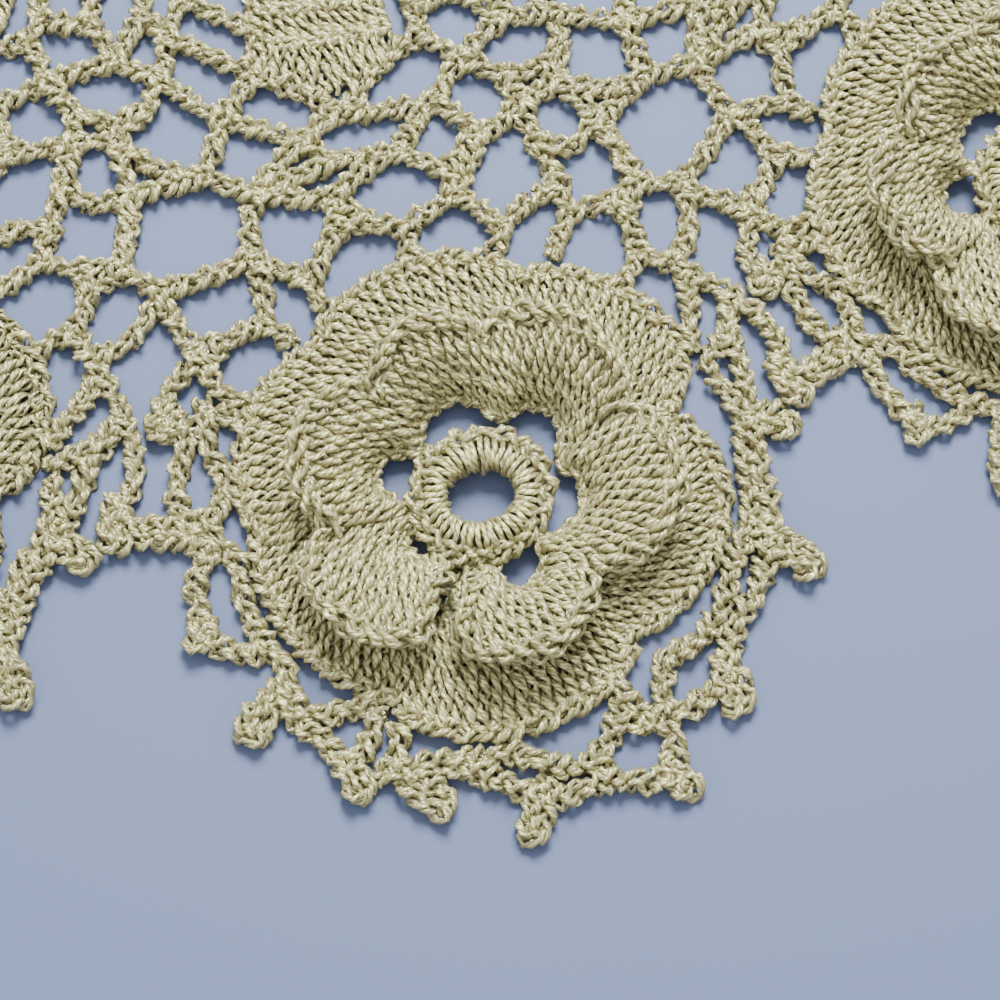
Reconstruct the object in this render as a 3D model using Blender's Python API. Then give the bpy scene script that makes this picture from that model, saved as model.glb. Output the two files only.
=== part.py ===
"""Lace doily with raised roses, crocheted in thread.

A flat net of chain cords carries twelve padded roses in a ring and one more in the middle.
The net repeats twelve times. One repeat is charted below as junctions, where cords meet, and
windows, the gaps between cords. Sizes in the tables are in millimetres and degrees.

Angles are turned clockwise seen from above, from the -Y axis: in the chart round the doily's
middle, and round a rose from the line that runs outwards through it.
"""

from math import cos, degrees, pi, radians, sin

import bmesh
import bpy

MM = 0.001

# Driving sizes, in millimetres and degrees.
REPEATS = 12
ROSE_RING_RADIUS = 91.0
NET_THICKNESS = 1.3
CORD_WIDTH = 1.9
PIECE_GAP = 0.3
CUT_PER_REPEAT = 15

# Rose: ring, bridges, a front and a back tier of six petals.
PETALS = 6
STEPS_PER_PETAL = 4
RING_HOLE_RADIUS = 1.95
RING_CREST_RADIUS = 3.2
RING_OUTER_RADIUS = 4.7
RING_HEIGHT = 3.1
BRIDGE_TOP = 1.9
FRONT_FOOT_RADIUS = 6.4
FRONT_RIM_RADIUS = 12.7
FRONT_RIM_HEIGHT = 5.0
FRONT_NOTCH_DEPTH = 2.6
FRONT_NOTCH_DROP = 1.6
FRONT_UNDERSIDE_RADIUS = 7.7
FRONT_EDGE_THICKNESS = 1.04
PETAL_THICKNESS = 1.3
BACK_RIM_RADIUS = 17.4
BACK_NOTCH_DEPTH = 1.2
BACK_RIM_LEAN = 0.3
ROSE_UNDERSIDE_RADIUS = 4.0
FIRST_NOTCH_ANGLE = 28.0
PETAL_SPREAD = 0.5

# Edging round each outer rose, and the slit between two neighbouring roses.
EDGING_RADIUS = 21.0
PICOT_TIP_HALF_WIDTH = 0.85
PICOT_ROOT_HALF_WIDTH = 1.5
SLIT_ANGLE = 112.0
SLIT_RADIUS = 22.5
SLIT_END_RADIUS = 84.6

# Picots of one rose: angle round the rose, and how far the tip reaches from its middle.
PICOTS = (
    (97, 24.4), (76, 22.8), (57, 24.9), (38, 24.0), (23, 24.4),
    (8, 25.4), (-17, 26.0), (-36, 24.2), (-62, 24.5), (-88, 22.7),
)

# Plain rounds of windows between the middle rose and the shells: windows in the round, inner
# radius and outer radius of the round.
PLAIN_ROUNDS = ((24, 19.4, 26.4), (24, 26.4, 33.4), (36, 33.4, 40.6), (36, 40.6, 47.8))

# Ground junctions of one repeat: radius from the doily's middle, angle from the rose's line.
GROUND = {
    # last plain round
    "p1": (47.8, 13.5), "p2": (47.8, 9.0), "p3": (47.8, -3.2), "p4": (47.8, -7.0),
    "p5": (47.8, -11.5),
    # round the shell, a fan of long stitches
    "s1": (52.0, 9.2), "s2": (56.8, 9.3), "s3": (58.7, 5.2), "s4": (57.1, 0.6),
    "s5": (56.0, -3.4), "s6": (52.8, -3.8),
    # between two shells
    "a1": (50.6, 13.6), "a2": (53.0, 14.8), "a3": (57.2, 16.2), "a4": (52.4, -7.2),
    "a5": (56.3, -9.9), "a6": (58.6, -5.8), "a7": (51.6, -12.2),
    # below the shell
    "b1": (60.4, 12.0), "b2": (62.3, 6.8), "b3": (60.6, 3.8), "b4": (61.8, -3.3),
    "b5": (60.8, -7.8), "b6": (60.8, -12.8), "b7": (62.2, -14.6),
    # round the top of the wide window
    "c1": (64.5, 13.0), "c2": (66.0, 10.2), "c3": (67.2, 5.8), "c4": (64.4, 1.2),
    "c5": (63.3, -0.9), "c6": (66.5, -1.9), "c7": (65.3, -4.7), "c8": (63.6, -8.4),
    "c9": (63.2, -11.8), "c10": (66.9, -12.6),
    # above the rose
    "d1": (69.6, -12.8), "d2": (72.8, -13.0), "d3": (73.2, 14.6), "d4": (71.9, 10.2),
    "d5": (72.4, 6.9), "d6": (70.6, 5.5), "d7": (69.3, 3.4), "d8": (69.5, 0.4),
    "d9": (69.4, -3.5), "d10": (70.6, -7.0), "d11": (71.0, -9.6), "d12": (68.3, -10.3),
    "d13": (72.3, -5.0), "d14": (74.0, -10.4),
}

# Junctions close round a rose: radius from the rose's middle, angle round the rose.
ROSE_SIDE = {
    "e1": (22.0, -149.5), "e2": (18.3, -151.0), "e3": (18.0, -160.0), "e4": (22.8, -138.6),
    "e5": (20.7, -133.0), "e6": (18.4, -137.0), "e7": (24.5, -130.6), "e8": (21.8, -127.8),
    "e9": (18.3, 163.0), "e10": (18.3, 177.0),
    "f1": (25.4, 133.6), "f2": (23.0, 131.5), "f3": (22.0, 136.3), "f4": (19.9, 141.1),
    "f5": (21.9, 145.2),
}

# Windows of one repeat, by the junctions round them. A junction of the next repeat, 30 degrees
# on, is marked with +, and one of the repeat before with -.
WINDOWS = (
    "p1 p2 s1 a1", "p5+ p1 a1 a2 a7+", "p4 p5 a7 a5 a4", "p3 p4 a4 s6", "s6 a4 a5 a6 s5",
    "a1 s1 s2 a2", "a7+ a2 a3 a5+", "a2 s2 b1 a3", "s2 s3 b3 b2 b1", "s4 s5 a6 b4 b3",
    "a3 b1 c1 b7+ b6+", "a5 a3- b6 b5 a6", "b1 b2 c2 c1", "b2 b3 b4 c5 c4",
    "b4 a6 b5 c8 c7", "c5 b4 c7 c6",
    "b6 b7 c1- c10 c9", "c1 c2 d4 d3 d2+ d1+ c10+", "c2 c3 d6 d5 d4", "c3 c4 c6 d8 d7",
    "c7 c8 d12 d10 d9", "c8 c9 c10 d12", "d12 c10 d2 d14 e1 d11", "d6 d7 d8 e10 e9",
    "d8 d9 d13 e3 e10", "d10 d11 e1 e2 e3 d13", "e1 d14 e4 e5 e6 e2", "e4 d2 d3- e7 e8 e5",
    "d3 d4 f5 f4 f3 f2 f1",
)

# Hand work is never quite even: the pull shifts the pattern by this much, in slow waves. Each
# rose is also joined in at a slightly different turn.
HAND_PULL = 0.6
HAND_WAVE = 13.0
ROSE_TWIST = 4.0
ROSE_TWIST_STEP = 2.4

THREAD_COLOUR = (0.72, 0.66, 0.42, 1.0)
THREAD_ROUGHNESS = 0.45


def clear_scene():
    for old in list(bpy.data.objects):
        bpy.data.objects.remove(old, do_unlink=True)


def polar(radius, angle):
    """A point at this radius and at this angle in degrees, clockwise from the -Y axis."""
    turn = radians(angle)
    return -radius * sin(turn), -radius * cos(turn)


def hand_worked(x, y):
    """Shift a point as uneven hand work does. Opposite points shift in opposite directions,
    so the doily's middle stays where it is."""
    u, v = x / HAND_WAVE, y / HAND_WAVE
    across = HAND_PULL * (sin(u + 0.8 * v) - 0.5 * sin(1.7 * v))
    along = HAND_PULL * (sin(1.2 * u - 0.7 * v) + 0.4 * sin(2.1 * u))
    return x + across, y + along


def around_rose(repeat, radius, angle):
    """A point round the outer rose of a repeat."""
    x, y = polar(radius, angle)
    turn = radians(-360 * repeat / REPEATS)
    y -= ROSE_RING_RADIUS
    return x * cos(turn) - y * sin(turn), x * sin(turn) + y * cos(turn)


def junction(name, repeat):
    """The place of a charted junction. The marks + and - mean the next and the last repeat."""
    repeat += name.endswith("+") - name.endswith("-")
    name = name.rstrip("+-")
    if name in GROUND:
        radius, angle = GROUND[name]
        return polar(radius, angle + 360 * repeat / REPEATS)
    return around_rose(repeat, *ROSE_SIDE[name])


def signed_area(points):
    pairs = zip(points, points[1:] + points[:1])
    return sum(x0 * y1 - x1 * y0 for (x0, y0), (x1, y1) in pairs) / 2


def inset(points, distance):
    """Move every side of a polygon inwards by this distance."""
    if signed_area(points) < 0:
        points = points[::-1]
    lines = []
    for (x0, y0), (x1, y1) in zip(points, points[1:] + points[:1]):
        length = ((x1 - x0) ** 2 + (y1 - y0) ** 2) ** 0.5
        normal_x, normal_y = (y0 - y1) / length, (x1 - x0) / length
        lines.append((normal_x, normal_y, normal_x * x0 + normal_y * y0 + distance))
    corners = []
    for (ax, ay, a), (bx, by, b) in zip(lines[-1:] + lines[:-1], lines):
        cross = ax * by - ay * bx
        corners.append(((a * by - b * ay) / cross, (ax * b - bx * a) / cross))
    return corners


def charted_windows():
    """The largest windows of a repeat, each as its junctions' names."""
    def size(names):
        corners = [junction(name, 0) for name in names.split()]
        return abs(signed_area(inset(corners, CORD_WIDTH / 2)))
    return sorted(WINDOWS, key=size)[-CUT_PER_REPEAT:]


def plain_windows():
    """The windows of the plain rounds, each shifted half a step from the round inside it."""
    for number, (count, inner, outer) in enumerate(PLAIN_ROUNDS):
        step = 360 / count
        for place in range(count):
            start = (place + number % 2 / 2) * step
            yield [polar(inner, start), polar(inner, start + step),
                   polar(outer, start + step), polar(outer, start)]


def rose_notch(step):
    """Angle of a step round a rose, and how full the petal is there, from 0 at a notch to 1."""
    angle = FIRST_NOTCH_ANGLE + 360 * step / (PETALS * STEPS_PER_PETAL)
    fullness = abs(sin(pi * step / STEPS_PER_PETAL)) ** PETAL_SPREAD
    return angle, fullness


def back_rim_radius(fullness):
    return BACK_RIM_RADIUS - BACK_NOTCH_DEPTH * (1 - fullness)


def rose_twist(repeat):
    return ROSE_TWIST * sin(ROSE_TWIST_STEP * repeat)


def rose_outline(repeat, margin):
    """The rim of a rose's back petals, widened by a margin."""
    points = []
    for step in range(PETALS * STEPS_PER_PETAL):
        angle, fullness = rose_notch(step)
        radius = back_rim_radius(fullness) + margin
        if repeat is None:
            points.append(polar(radius, angle))
        else:
            points.append(around_rose(repeat, radius, angle + rose_twist(repeat)))
    return points


def edging_outline():
    """The doily's scalloped rim: each rose's edging with its picots, and the slits between."""
    points = []
    for repeat in reversed(range(REPEATS)):
        points.append(polar(SLIT_END_RADIUS, (repeat + 0.5) * 360 / REPEATS))
        points.append(around_rose(repeat, SLIT_RADIUS, SLIT_ANGLE))
        for angle, reach in PICOTS:
            root = degrees(PICOT_ROOT_HALF_WIDTH / EDGING_RADIUS)
            tip = degrees(PICOT_TIP_HALF_WIDTH / reach)
            points.append(around_rose(repeat, EDGING_RADIUS, angle + root))
            points.append(around_rose(repeat, reach, angle + tip))
            points.append(around_rose(repeat, reach, angle - tip))
            points.append(around_rose(repeat, EDGING_RADIUS, angle - root))
        points.append(around_rose(repeat, SLIT_RADIUS, -SLIT_ANGLE))
    return points


def thread_material(name):
    """Mercerised cotton thread."""
    material = bpy.data.materials.new(name)
    material.use_nodes = True
    shader = material.node_tree.nodes["Principled BSDF"]
    shader.inputs["Base Color"].default_value = THREAD_COLOUR
    shader.inputs["Roughness"].default_value = THREAD_ROUGHNESS
    shader.inputs["Metallic"].default_value = 0.0
    return material


def add_outline(curve, points):
    """Add one closed outline or hole to a flat curve."""
    spline = curve.splines.new("POLY")
    spline.points.add(len(points) - 1)
    for point, place in zip(spline.points, points):
        x, y = hand_worked(*place)
        point.co = (x * MM, y * MM, 0.0, 1.0)
    spline.use_cyclic_u = True


def build_net():
    """The ground net with its edging, one flat piece, open at its windows and at the roses."""
    curve = bpy.data.curves.new("net", "CURVE")
    curve.dimensions = "2D"
    curve.fill_mode = "BOTH"
    curve.extrude = NET_THICKNESS * MM / 2
    curve.render_resolution_u = 0
    add_outline(curve, edging_outline())
    add_outline(curve, rose_outline(None, PIECE_GAP))
    for repeat in range(REPEATS):
        add_outline(curve, rose_outline(repeat, PIECE_GAP))
    for corners in plain_windows():
        add_outline(curve, inset(corners, CORD_WIDTH / 2))
    for names in charted_windows():
        for repeat in range(REPEATS):
            corners = [junction(name, repeat) for name in names.split()]
            add_outline(curve, inset(corners, CORD_WIDTH / 2))
    net = bpy.data.objects.new("net", curve)
    net.location.z = NET_THICKNESS * MM / 2
    curve.materials.append(thread_material("net_thread"))
    bpy.context.collection.objects.link(net)


def rose_section(fullness):
    """Half a section of a rose, as radius and height: up the ring, over the bridge and along
    the front petal, back under it, out along the back petal and home underneath."""
    front_radius = FRONT_RIM_RADIUS - FRONT_NOTCH_DEPTH * (1 - fullness)
    front_height = FRONT_RIM_HEIGHT - FRONT_NOTCH_DROP * (1 - fullness)
    back_radius = back_rim_radius(fullness)
    return (
        (RING_HOLE_RADIUS, RING_HEIGHT / 2),
        (RING_CREST_RADIUS, RING_HEIGHT),
        (RING_OUTER_RADIUS, BRIDGE_TOP),
        (FRONT_FOOT_RADIUS, BRIDGE_TOP),
        (front_radius - PETAL_THICKNESS / 2, front_height),
        (front_radius, front_height - FRONT_EDGE_THICKNESS),
        (FRONT_UNDERSIDE_RADIUS, PETAL_THICKNESS),
        (back_radius - BACK_RIM_LEAN, PETAL_THICKNESS),
        (back_radius, 0.0),
        (ROSE_UNDERSIDE_RADIUS, 0.0),
    )


def build_rose(name, repeat):
    """One rose, turned out of its section step by step round its middle."""
    mesh_work = bmesh.new()
    rings = []
    for step in range(PETALS * STEPS_PER_PETAL):
        angle, fullness = rose_notch(step)
        ring = []
        for radius, height in rose_section(fullness):
            if repeat is None:
                x, y = polar(radius, angle)
            else:
                x, y = around_rose(repeat, radius, angle + rose_twist(repeat))
            x, y = hand_worked(x, y)
            ring.append(mesh_work.verts.new((x * MM, y * MM, height * MM)))
        rings.append(ring)
    for ring, after in zip(rings, rings[1:] + rings[:1]):
        for corner in range(len(ring)):
            before = corner - 1
            mesh_work.faces.new((ring[before], ring[corner], after[corner], after[before]))
    bmesh.ops.recalc_face_normals(mesh_work, faces=mesh_work.faces)
    mesh = bpy.data.meshes.new(name)
    mesh_work.to_mesh(mesh)
    mesh_work.free()
    mesh.shade_smooth()
    mesh.set_sharp_from_angle(angle=radians(50))
    mesh.materials.append(thread_material(name + "_thread"))
    bpy.context.collection.objects.link(bpy.data.objects.new(name, mesh))


def main():
    clear_scene()
    build_net()
    build_rose("rose_centre", None)
    for repeat in range(REPEATS):
        build_rose("rose_%02d" % (repeat + 1), repeat)


main()
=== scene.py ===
"""Lace doily with raised roses: every cord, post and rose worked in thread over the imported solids.

Sizes in the tables are in millimetres and degrees. Angles are turned clockwise seen from above,
from the -Y axis: in the chart round the doily's middle, and round a rose from the line that
runs outwards through it.
"""

from math import atan2, cos, degrees, hypot, pi, radians, sin
from random import Random

import bpy
from bpy.props import FloatProperty, FloatVectorProperty, IntProperty, PointerProperty
from bpy.types import Operator, Panel, PropertyGroup
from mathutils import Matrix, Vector


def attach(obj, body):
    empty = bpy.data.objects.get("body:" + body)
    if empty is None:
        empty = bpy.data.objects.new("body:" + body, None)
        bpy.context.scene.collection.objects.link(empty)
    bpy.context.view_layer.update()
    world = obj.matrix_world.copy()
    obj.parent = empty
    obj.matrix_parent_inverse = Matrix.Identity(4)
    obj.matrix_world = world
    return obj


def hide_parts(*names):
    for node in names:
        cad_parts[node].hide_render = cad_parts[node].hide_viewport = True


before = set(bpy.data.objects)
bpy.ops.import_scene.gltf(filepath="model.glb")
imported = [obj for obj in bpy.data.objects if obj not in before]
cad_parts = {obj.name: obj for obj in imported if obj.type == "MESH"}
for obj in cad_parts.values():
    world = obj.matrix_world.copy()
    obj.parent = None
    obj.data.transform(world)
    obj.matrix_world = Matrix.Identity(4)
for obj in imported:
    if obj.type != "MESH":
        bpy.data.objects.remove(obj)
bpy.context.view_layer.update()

bl_info = {
    "name": "Lace Doily",
    "version": (1, 0, 0),
    "blender": (4, 5, 0),
    "location": "View3D > Sidebar > Doily",
    "description": "Works a crocheted doily with raised roses, stitch by stitch",
    "category": "Add Mesh",
}

MM = 0.001
UP = (0.0, 0.0, 1.0)
REPEATS = 12
ROSE_RING_RADIUS = 91.0

# A cord of the net: its height, how far that varies, its least and greatest size, how far a
# straight one may bow, and how far below it its core lies.
NET_HEIGHT = 0.62
HEIGHT_VARIES = 0.1
CORD_SIZES = (0.98, 1.22)
CORD_BOW = 0.25
CORE_DROP = 0.1

# Plain rounds between the middle rose and the shells: posts in the round, inner and outer radius.
PLAIN_ROUNDS = ((24, 19.4, 26.4), (24, 26.4, 33.4), (36, 33.4, 40.6), (36, 40.6, 47.8))
PLAIN_STEPS = 72
PLAIN_BOW = 0.3

# Ground junctions of one repeat: radius from the doily's middle, angle from the rose's line.
GROUND = {
    # last plain round
    "p1": (47.8, 13.5), "p2": (47.8, 9), "p3": (47.8, -3.2), "p4": (47.8, -7),
    "p5": (47.8, -11.5),
    # round the shell, a fan of long stitches
    "s1": (54.1, 9.2), "s2": (57.6, 9.5), "s3": (60, 5), "s4": (57.8, 0.2),
    "s5": (56.3, -3.6), "s6": (54.2, -3.9),
    # between two shells
    "a1": (51.4, 14.9), "a2": (54.4, 16.1), "a3": (58, 16.3), "a4": (54, -8),
    "a5": (57, -10.2), "a6": (59.1, -5.7), "a7": (53, -11.9),
    # below the shell
    "b1": (61.1, 12.1), "b2": (63, 6.7), "b3": (61.1, 3.9), "b4": (61.6, -2.7),
    "b5": (61.3, -8), "b6": (60.5, -13), "b7": (65.2, -13.9), "b8": (64.7, 4.9),
    "b9": (61.8, -10.4),
    # round the top of the wide window
    "c1": (65.6, 13.3), "c2": (66.9, 10), "c3": (67.5, 5.4), "c4": (64.6, 1.1),
    "c5": (63.1, -0.9), "c6": (66.9, -2.1), "c7": (65.1, -4.9), "c8": (63.6, -8.6),
    "c9": (63.1, -11.2), "c10": (67.3, -12.6), "c11": (67.1, -8.3),
    # above the rose
    "d1": (69.6, -12.9), "d2": (73, -12.9), "d3": (74.4, 14.9), "d12": (68.3, -10.2),
}

# Junctions close round a rose: radius from the rose's middle, angle round the rose.
ROSE_SIDE = {
    "d4": (24, 148), "d5": (20, 153.5), "d6": (22.2, 163.5), "d7": (21.5, 170),
    "d8": (20.7, 176.5), "d9": (22.4, 187.3), "d10": (22.3, 201.7), "d11": (23.4, 206.3),
    "d13": (19.8, 195.8), "d14": (23.2, 215.5),
    "e1": (21.5, 209.5), "e2": (17.9, 208.5), "e3": (17.9, 195), "e4": (22.7, 220.5),
    "e5": (20.7, 226.3), "e6": (17.9, 226.5), "e7": (24.3, 231.3), "e8": (21.3, 232.3),
    "e9": (17.8, 152.5), "e10": (17.9, 175),
    "f1": (25.4, 132.5), "f2": (22.7, 129.5), "f3": (21.2, 133), "f4": (20, 140.8),
    "f5": (21.9, 146),
}

# Windows of one repeat, by the junctions round them. A junction of the next repeat, 30 degrees
# on, is marked with +, and one of the repeat before with -.
WINDOWS = (
    "p1 p2 s1 a1", "p5+ p1 a1 a2 a7+", "p4 p5 a7 a5 a4", "p3 p4 a4 s6", "s6 a4 a5 a6 s5",
    "a1 s1 s2 a2", "a7+ a2 a3 a5+", "a2 s2 b1 a3", "s2 s3 b3 b2 b1", "s4 s5 a6 b4 b3",
    "a3 b1 c1 b7+ c9+ b6+", "a5 a3- b6 b9 b5 a6", "b1 b2 c2 c1", "b2 b3 b4 c5 c4 b8",
    "b2 b8 c2", "c2 b8 c4 c3", "b4 a6 b5 c8 c7", "c4 c5 b4 c7 c6", "b7 c1- c10 c9",
    "b5 b9 b6 c9 c8", "c1 c2 d4 d3 d2+ d1+ c10+", "c2 c3 d6 d5 d4", "c3 c4 c6 d9 d8 d7",
    "c7 c8 c11 d11 d10 d13 d9", "c8 c9 c10 d12 c11", "d12 c10 d2 d14 e1 d11 c11",
    "d5 d6 d7 d8 e10 e9", "d8 d9 d13 e3 e10", "d10 d11 e1 e2 e3 d13", "e1 d14 e4 e5 e6 e2",
    "e4 d2 d3- e7 e8 e5", "d3 d4 f5 f4 f3 f2 f1",
)
# Junctions whose cords are the last plain round's or the rose's own rim.
WORKED_ELSEWHERE = ({"p1", "p2", "p3", "p4", "p5"}, {"e2", "e3", "e6", "e9", "e10"})

# Shell of long stitches: the angles of its sides, where its outer edge runs, its posts, and the
# radii of its rows.
SHELL_SIDES = (-1.2, 8.0)
SHELL_EDGE = ("s2", "s3", "s4")
SHELL_POSTS = 11
SHELL_POST = {"stitch": "post", "size": 1.25, "height": 0.75, "bow": 0.1}
SHELL_ROWS = (48.2, 52.6, 55.4)
SHELL_ROW = {"stitch": "rim", "size": 0.7, "height": 0.85}
SHELL_ROW_STEPS = 4

# Edging cords round a rose, each a run of (radius, angle) points.
EDGING_CORDS = (
    ((17.4, 141.5), (18.8, 141.3), (20, 140.8)),
    ((17.3, 120), (18.8, 119.5), (20.3, 120.5)),
    ((17.4, 124), (19.3, 124.2), (20.9, 126), (21.8, 128.5), (22.7, 129.5)),
    ((20.9, 126), (21.3, 129), (21.2, 133)),
    ((21, 113), (22.3, 115.5), (22.9, 119), (22.6, 123), (22.2, 127), (22.7, 129.5)),
    ((20.4, 121), (20.2, 116), (20.6, 111), (20.8, 106), (20.8, 101), (20.4, 96.5)),
    ((19.8, 120), (19.5, 115), (19, 111), (18, 107.5), (17.8, 103), (17.9, 99), (18.8, 95.5)),
    ((18.8, 96), (18.4, 91), (17.5, 86.5), (17.8, 81.5), (18.1, 76), (18.3, 71), (18.4, 66),
     (18.3, 61), (19.3, 57), (19.7, 52.5), (19.3, 48.5), (18.2, 45.5), (17.3, 42), (17.2, 37)),
    ((18.6, 89.5), (19.3, 87.5), (20.3, 85), (20.9, 81), (21.3, 77), (21.5, 73), (20.8, 69.5),
     (19.8, 67), (18.9, 65.5)),
    ((18.8, 98), (19.8, 93.5), (20.8, 91)),
    ((20.4, 97), (19.9, 92), (19.2, 88.5)),
    ((19.6, 58.5), (20.6, 56), (20.6, 50.5), (20.7, 46), (21.1, 41.5), (21.8, 38.5)),
    ((17.4, 38.5), (19.2, 37.8), (21.2, 38.3)),
    ((17.4, 33.5), (18.8, 31.8), (20.3, 31.5), (21.6, 33.5)),
    ((20.6, 31), (20.3, 28), (19.6, 24.5), (19.2, 19.5), (19.1, 14), (18.9, 9), (19.4, 5),
     (20.2, 2), (21, -1.5), (21.3, -5.5), (20.7, -9.5), (19.5, -13), (18.2, -15.5)),
    ((19.6, 21.5), (19.9, 17), (20.4, 12.5), (21.1, 9), (22.1, 5.5), (22.8, 1.5), (22.9, -3),
     (23.1, -8), (24, -12), (25.2, -15)),
    ((21.2, -6.5), (22.8, -8.5)),
    ((19.4, -13.5), (20.6, -16.5), (21.2, -20.5)),
    ((17.2, -16.5), (18.6, -17), (20, -18.5), (21.2, -20.8), (22.6, -20.5), (24, -18.8),
     (25.4, -16.5)),
    ((21, -21.5), (20, -22.8), (18.8, -25.3), (17.9, -29), (18.4, -33), (18.7, -38), (18.7, -42.5),
     (18.2, -48.5), (17.9, -55), (18, -61)),
    ((21.3, -21.5), (21.8, -26), (21.9, -31), (21.4, -36), (20.6, -39.5), (20.1, -43), (20.1, -50),
     (20.1, -56), (19.6, -61), (19.8, -66.5), (19.2, -72), (18.8, -78), (18.9, -83.5),
     (19.5, -89.5)),
    ((18, -60), (18.1, -66), (18.1, -71), (17.9, -77), (17.9, -83), (18.3, -88), (18.3, -93),
     (18.1, -98), (17.8, -102.5)),
    ((19.4, -89), (19.5, -95), (20, -101), (20.4, -106), (21.2, -110.5), (21.9, -113.5)),
    ((17.5, -104.5), (18.7, -107), (20.2, -109), (21.4, -111.5), (22.3, -114.5)),
    ((17.6, -110), (18.3, -114), (19.4, -117.5), (20.6, -121.5), (21.4, -126)),
    ((22.4, -94), (22.8, -98), (23.4, -103), (23.3, -108.5), (22.8, -114), (22.1, -120),
     (21.4, -127)),
)

# Picots round a rose: root (radius, angle), tip (radius, angle), how far the loop is spread.
PICOTS = (
    ((21.8, 116), (22.9, 112.5), 1.2), ((20.8, 93.5), (23.7, 94.6), 1.2),
    ((21.4, 75), (22.5, 72), 0.8), ((20.9, 57), (24.1, 55.5), 1.25),
    ((21.6, 38.5), (22.8, 34), 1.2), ((20.9, 27.5), (22.6, 19.5), 1.4),
    ((22.6, 3.5), (25.3, 5.8), 1.1), ((24.6, -17), (26.8, -18.5), 1),
    ((21.6, -35), (24.4, -31.5), 1.3), ((20, -63), (23.6, -58.5), 1.3),
    ((19.7, -89.5), (22, -86.5), 1.3), ((22.6, -97.5), (23.3, -91), 1.3),
)

# The loop of a picot: points forward along it and to its side, as shares of its length and its
# half width, and how far each is drawn back. Its half width is this share of its spread.
PICOT_LOOP = ((-0.5, 0.3, 0), (0.5, 1.0, 0), (0.95, 0.9, 0.3), (1.0, 0.0, 0.3), (0.9, -0.9, 0),
              (0.4, -1.0, 0), (-0.4, -0.3, 0))
PICOT_HALF_WIDTH = 0.48
PICOT_LIFT = 0.15

# Front petals of a rose: start angle, end angle, rim radius, rim height.
FRONT_PETALS = (
    (30.0, 85.0, 13.7, 4.1), (85.0, 143.0, 12.6, 4.7), (143.0, 190.0, 11.6, 5.0),
    (190.0, 257.0, 12.0, 5.0), (257.0, 331.0, 12.7, 4.6), (331.0, 390.0, 13.0, 4.3),
)
# Openings between the ring and the front petals: angle, half its width, outer radius.
RING_OPENINGS = ((61.0, 17.5, 7.2), (114.0, 21.0, 8.0), (166.0, 29.0, 7.3), (232.0, 24.0, 7.2),
                 (300.0, 30.0, 6.9), (356.0, 22.0, 8.1))
FRONT_FOOT_RADIUS = 5.5
# Notches between front petals, in the same order: how deep each cuts in, how far its rim drops,
# and how far a crevice stands open on each side.
FRONT_NOTCHES = ((2.5, 0.6, 1.2), (2.6, 1.7, 0.0), (2.4, 1.5, 0.0), (2.0, 1.5, 0.0),
                 (2.8, 2.0, 0.0), (4.4, 2.4, 0.0))
FRONT_FOOT_HEIGHT = 1.0
FRONT_FLARE = 1.35
# Posts of a front petal: their pitch along the rim, size, lean and steps, and how far the
# backing lies below them.
FRONT_POST_PITCH = 1.02
FRONT_POST_SIZE = 1.08
FRONT_POST_LEAN = -0.5
FRONT_POST_STEPS = 5
BACKING_DROP = 0.25
# The rolled lips of the front petals, in the same order, and how they lie on the rim.
FRONT_LIP_SIZES = (1.3, 1.25, 1.25, 1.25, 1.25, 1.4)
LIP_OVERHANG = 0.2
LIP_LEAN = 0.3
LIP_STEPS = 16
CREVICE_STEPS = 4
CREVICE_HEIGHT = 0.6
# Chain at the foot of the front petals.
ARCH_STEP = 5
ARCH_LIFT = 0.1
ARCH_SIZE = 0.8
# Back petals of a rose: start angle, end angle, rim radius, depth of the notch at the start.
BACK_PETALS = (
    (-25.0, 35.0, 17.4, 1.9), (35.0, 94.0, 16.5, 1.0), (94.0, 147.0, 17.0, 1.2),
    (147.0, 201.0, 17.7, 1.3), (201.0, 261.0, 17.5, 1.7), (261.0, 335.0, 16.4, 3.9),
)
BACK_FOOT_RADIUS = 9.6
BACK_RIM_STEPS = 14
BACK_RIM_HEIGHT = 0.75
# Posts of a back petal: degrees for each, size, steps, height at the foot, swell half way, and
# how much every other one is raised. The backing lies at one height.
BACK_POST_TURN = 3.1
BACK_POST_SIZE = 1.1
BACK_POST_STEPS = 3
BACK_POST_HEIGHT = 0.55
BACK_POST_SWELL = 0.35
BACK_POST_STAGGER = 0.12
BACKING_HEIGHT = 0.45
# Where cords join a back petal of the middle rose to the plain rounds, as shares of its width.
JOINING_SHARES = (0.3, 0.7)
JOINING_OVERLAP = 0.6
# Rounds of padding cord under the front petals, as shares of the way to the back petals.
PADDING_ROUNDS = (0.22, 0.5, 0.8)
PADDING_HEIGHT = 0.55
PADDING_SIZE = 1.15
# How quickly a petal fills out from its notches, and how square its openings' ends are.
PETAL_SPREAD = 0.6
# Lines of the ring, outwards: stitch, radius, height, lean and size. Towards one angle the ring
# is slack, and its lines have this much more radius and size.
RING_LINES = (
    ("wrap", 3.2, 1.5, 0.0, 1.0, -0.2, 0.2), ("core", 3.2, 1.5, 0.0, 1.0, -0.2, 0.0),
    ("core", 4.05, 1.2, 0.0, 1.0, 0.0, 0.0), ("rim", 4.45, 1.75, 0.5, 0.95, 0.0, 0.0),
)
RING_SLACK_ANGLE = 14.0
RING_STEPS = 24
# The ring stands a little off the rose's middle: how far, and at which angle.
RING_SHIFT = (0.8, 50.0)

# Hand work is never quite even: the pull shifts the pattern by this much, in slow waves, and
# each rose is joined in at a slightly different turn.
HAND_PULL = 0.6
HAND_WAVE = 13.0
ROSE_TWIST = 4.0
ROSE_TWIST_STEP = 2.4

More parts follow.
